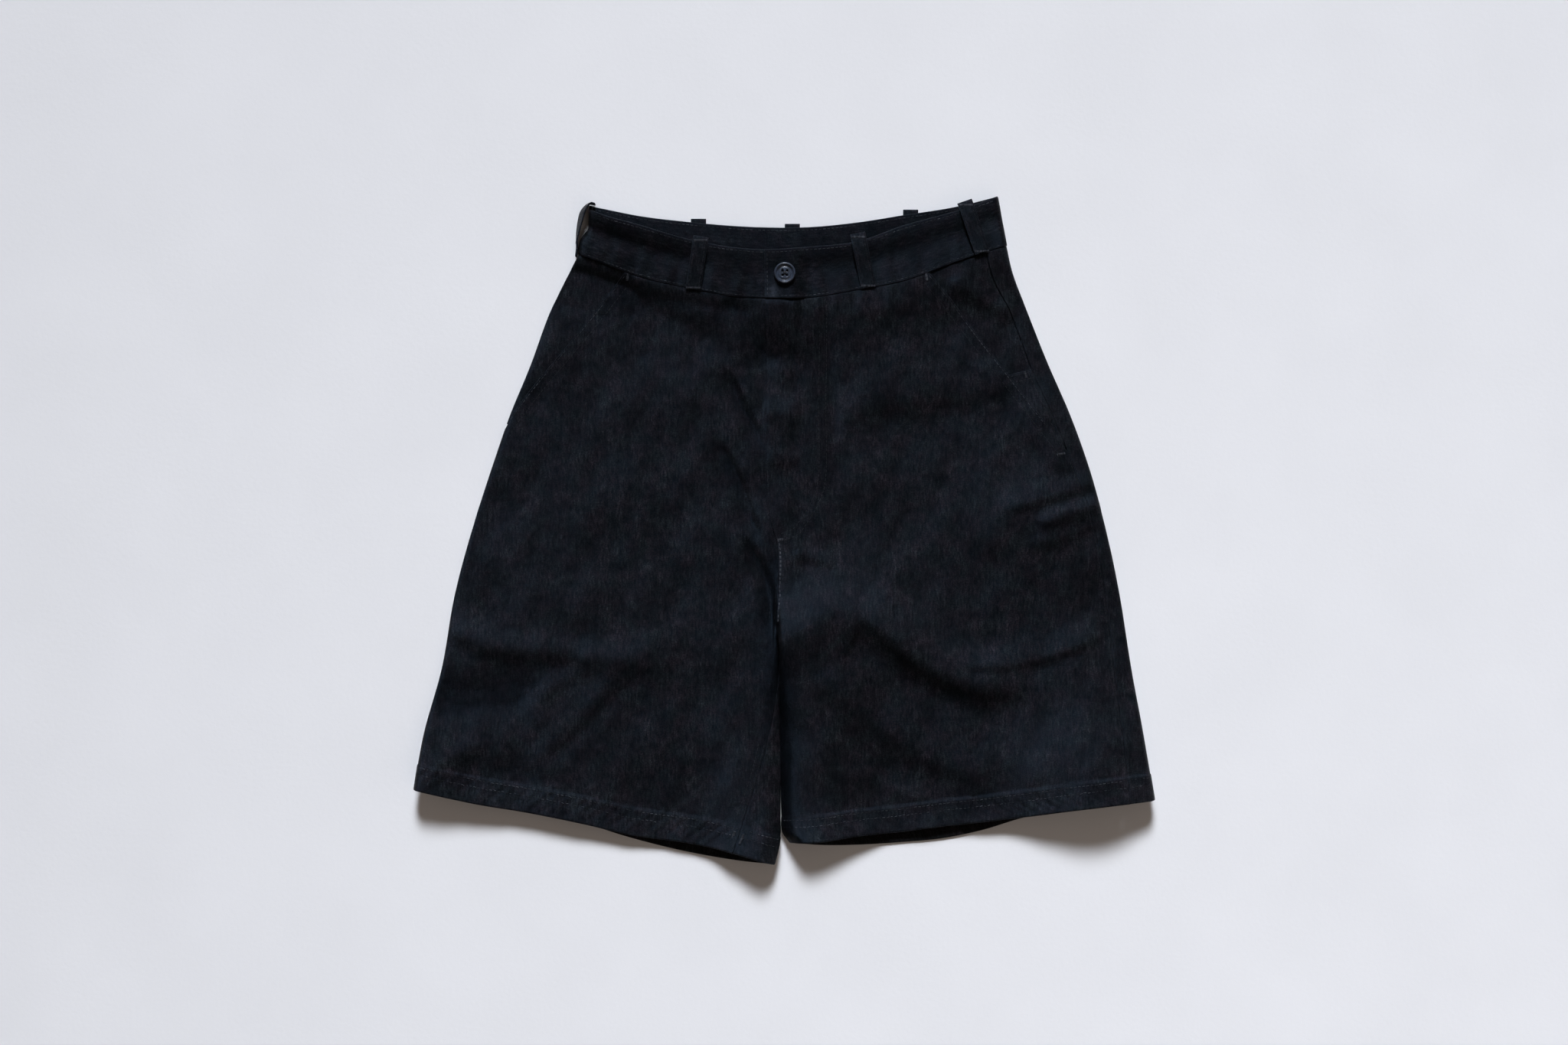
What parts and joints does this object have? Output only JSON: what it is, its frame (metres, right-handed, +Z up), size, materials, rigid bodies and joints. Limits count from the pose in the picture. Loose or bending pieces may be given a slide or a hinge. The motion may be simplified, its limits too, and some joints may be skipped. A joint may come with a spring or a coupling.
{
  "type": "denim shorts",
  "caption": "Wide knee-length dark denim shorts laid flat with the front up: A-line legs with lifted hems, slash pockets, coin pocket, button fly, waistband with belt loops.",
  "frame": {"origin": "on the surface that the shorts lie on, at the middle of their bounding box seen from above", "axes": "+X towards the wearer's left, +Y towards the waist, +Z up from the surface, out of the garment's front"},
  "size_m": [0.6101, 0.5503, 0.0329],
  "materials": {
    "denim": "matte dark indigo twill with a faint sheen, worn paler along the seams, and beige-grey topstitching",
    "button": "satin blue-grey, sewn on with dark thread"
  },
  "bodies": {
    "root": {"left_front": "denim", "right_front": "denim", "left_back": "denim", "right_back": "denim", "waistband": "denim", "left_pocket_facing": "denim", "right_pocket_facing": "denim", "coin_pocket": "denim", "loop_front_left": "denim", "loop_front_right": "denim", "loop_side_left": "denim", "loop_side_right": "denim", "loop_back_left": "denim", "loop_back_centre": "denim", "loop_back_right": "denim", "waist_button": "button"}
  },
  "joints": []
}
